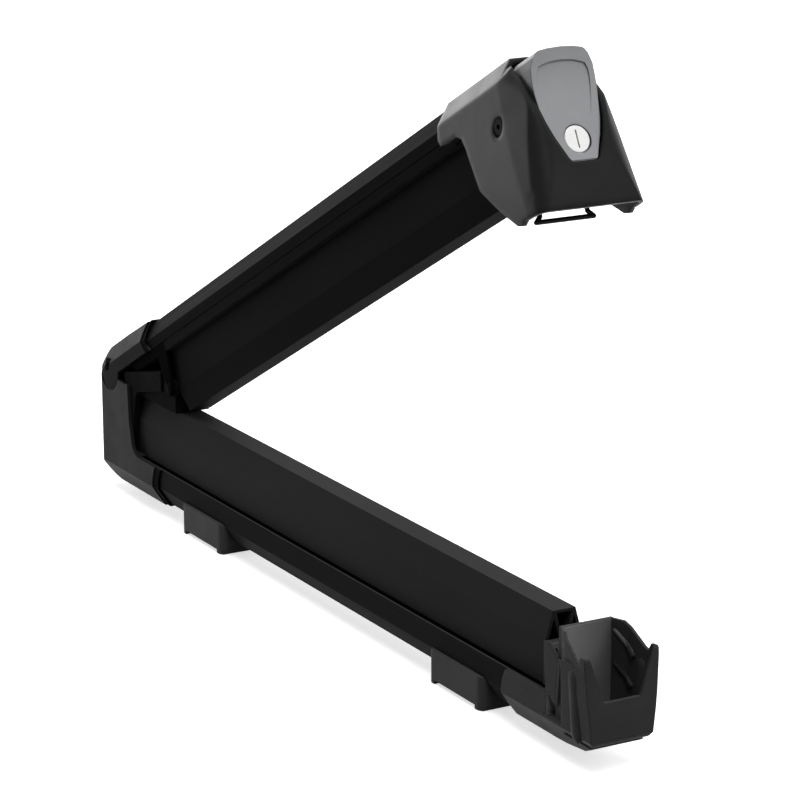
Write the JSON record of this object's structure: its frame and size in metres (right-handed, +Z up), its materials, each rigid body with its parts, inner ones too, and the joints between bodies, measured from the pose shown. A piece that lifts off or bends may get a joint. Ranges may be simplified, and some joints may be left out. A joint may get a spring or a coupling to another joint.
{
  "type": "roof ski carrier",
  "caption": "Roof-bar ski carrier with two rubber-faced clamping arms hinged at one end and a push-button locking latch at the other.",
  "frame": {"origin": "underside of the feet, midway between the two roof-bar bolts", "axes": "+X along the lower arm from the hinge to the latch, +Y across the arm, +Z up"},
  "size_m": [0.5962, 0.0646, 0.3603],
  "materials": {
    "anodised": "satin",
    "pad_rubber": "matt",
    "seal_rubber": "matt",
    "black_nylon": "fine grain",
    "housing_nylon": "satin",
    "cap_plastic": "satin",
    "button_plastic": "satin",
    "steel": "satin",
    "black_wire": "semi-gloss",
    "lock_metal": "satin"
  },
  "bodies": {
    "base": {"lower_rail": "anodised", "lower_pad": "pad_rubber", "hinge_bracket": "black_nylon", "bracket_seal": "seal_rubber", "hinge_frame": "black_nylon", "rear_foot": "black_nylon", "front_foot": "black_nylon", "slide_nuts": "steel", "bracket_screws": "steel", "catch_bracket": "black_nylon"},
    "arm": {"upper_rail": "anodised", "upper_pad": "pad_rubber", "hinge_block": "black_nylon", "hinge_cap": "cap_plastic", "cap_seal": "seal_rubber", "cap_screws": "steel", "hinge_pin": "steel", "pin_clips": "steel", "lock_housing": "housing_nylon", "housing_screw": "steel", "pivot_pin": "steel", "button_spring": "steel"},
    "button": {"release_button": "button_plastic", "wire_bail": "black_wire"},
    "lock": {"lock_cylinder": "lock_metal", "lock_cam": "steel", "lock_clip": "steel"}
  },
  "joints": [
    {"name": "arm_hinge", "type": "hinge", "parent": "base", "child": "arm", "pos_m": [-0.2029, 0, 0.088], "axis": [0, 1, 0], "range_deg": [0, 27.7]},
    {"name": "button_press", "type": "hinge", "parent": "arm", "child": "button", "pos_m": [0.21011, 0, 0.31974], "axis": [0, -1, 0], "range_deg": [0, 7], "stiffness_Nm_per_rad": 1.5, "springref_deg": -8.59},
    {"name": "lock_turn", "type": "hinge", "parent": "button", "child": "lock", "pos_m": [0.24273, 0, 0.31677], "axis": [0.8854, 0, 0.4648], "range_deg": [0, 90]}
  ]
}
